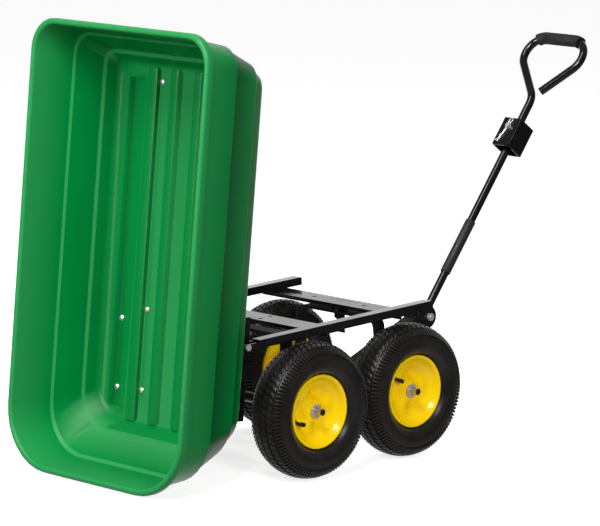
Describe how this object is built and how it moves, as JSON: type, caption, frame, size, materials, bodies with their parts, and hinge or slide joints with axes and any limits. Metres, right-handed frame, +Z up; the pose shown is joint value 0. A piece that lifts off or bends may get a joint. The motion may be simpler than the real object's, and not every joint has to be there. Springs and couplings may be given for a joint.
{
  "type": "tipping dump cart",
  "caption": "Garden dump cart with a moulded tub tipped back on hinges, a steel rail chassis, pneumatic wheels, a steered front axle and a pull handle with a tow receiver.",
  "frame": {"origin": "on the ground below the middle of the cart's overall length and width", "axes": "+X towards the pull handle, +Y to the cart's left, +Z up; the tub is tipped back over the rear axle"},
  "size_m": [1.6244, 0.632, 1.0765],
  "materials": {
    "tub_plastic": "semi-gloss moulded polyethylene",
    "chassis_paint": "gloss black powder coat",
    "rim_paint": "gloss yellow paint on pressed steel",
    "tyre": "matt black rubber",
    "valve_rubber": "matt black rubber",
    "bush_nylon": "moulded nylon",
    "zinc": "bright zinc plate",
    "grip_foam": "matt foam",
    "sleeve_plastic": "matt sleeve",
    "latch_plastic": "dipped black plastic"
  },
  "bodies": {
    "chassis": {"left_rail": "chassis_paint", "right_rail": "chassis_paint", "front_cross_member": "chassis_paint", "rear_cross_member": "chassis_paint", "rear_axle_beam": "chassis_paint", "left_rear_leg": "chassis_paint", "right_rear_leg": "chassis_paint", "rear_axle": "chassis_paint", "kingpin": "chassis_paint", "hinge_bolts": "zinc", "rear_washers": "zinc", "rear_cotter_pins": "zinc"},
    "tub": {"tub": "tub_plastic", "left_hinge_angle": "chassis_paint", "right_hinge_angle": "chassis_paint", "floor_plate": "chassis_paint", "tub_bolts": "zinc", "tub_nuts": "zinc", "latch_bracket": "chassis_paint", "latch_pin": "zinc"},
    "latch": {"latch_lever": "chassis_paint", "latch_grip": "latch_plastic"},
    "steering": {"front_axle_bracket": "chassis_paint", "front_axle": "chassis_paint", "steering_spacer": "chassis_paint", "kingpin_nut": "chassis_paint", "tongue": "chassis_paint", "clevis": "chassis_paint", "clevis_bolt": "zinc", "front_washers": "zinc", "front_cotter_pins": "zinc"},
    "handle": {"pull_bar": "chassis_paint", "bar_sleeve": "sleeve_plastic", "tow_receiver": "chassis_paint", "tow_pin": "zinc", "tow_clip": "zinc", "loop_handle": "chassis_paint", "grip": "grip_foam"},
    "left_rear_wheel": {"left_rear_tyre": "tyre", "left_rear_rim": "rim_paint", "left_rear_bushes": "bush_nylon", "left_rear_valve": "valve_rubber"},
    "right_rear_wheel": {"right_rear_tyre": "tyre", "right_rear_rim": "rim_paint", "right_rear_bushes": "bush_nylon", "right_rear_valve": "valve_rubber"},
    "left_front_wheel": {"left_front_tyre": "tyre", "left_front_rim": "rim_paint", "left_front_bushes": "bush_nylon", "left_front_valve": "valve_rubber"},
    "right_front_wheel": {"right_front_tyre": "tyre", "right_front_rim": "rim_paint", "right_front_bushes": "bush_nylon", "right_front_valve": "valve_rubber"}
  },
  "joints": [
    {"name": "tub_tip", "type": "hinge", "parent": "chassis", "child": "tub", "pos_m": [-0.52857, 0, 0.33248], "axis": [0, 1, 0], "range_deg": [0, 82]},
    {"name": "latch_lever", "type": "hinge", "parent": "tub", "child": "latch", "pos_m": [-0.47564, 0, 0.92215], "axis": [0, 1, 0], "range_deg": [0, 24]},
    {"name": "steer", "type": "hinge", "parent": "chassis", "child": "steering", "pos_m": [0.0093, 0, 0.35636], "axis": [-0.061, 0, 0.9981], "range_deg": [-25, 25]},
    {"name": "handle_pitch", "type": "hinge", "parent": "steering", "child": "handle", "pos_m": [0.31006, 0, 0.2876], "axis": [0, 1, 0], "range_deg": [-38, 72]},
    {"name": "left_rear_spin", "type": "hinge", "parent": "chassis", "child": "left_rear_wheel", "pos_m": [-0.343, 0.266, 0.165], "axis": [0, 1, 0], "continuous": true},
    {"name": "right_rear_spin", "type": "hinge", "parent": "chassis", "child": "right_rear_wheel", "pos_m": [-0.343, -0.266, 0.165], "axis": [0, 1, 0], "continuous": true},
    {"name": "left_front_spin", "type": "hinge", "parent": "steering", "child": "left_front_wheel", "pos_m": [0.021, 0.224, 0.165], "axis": [0, 1, 0], "continuous": true},
    {"name": "right_front_spin", "type": "hinge", "parent": "steering", "child": "right_front_wheel", "pos_m": [0.021, -0.224, 0.165], "axis": [0, 1, 0], "continuous": true}
  ]
}
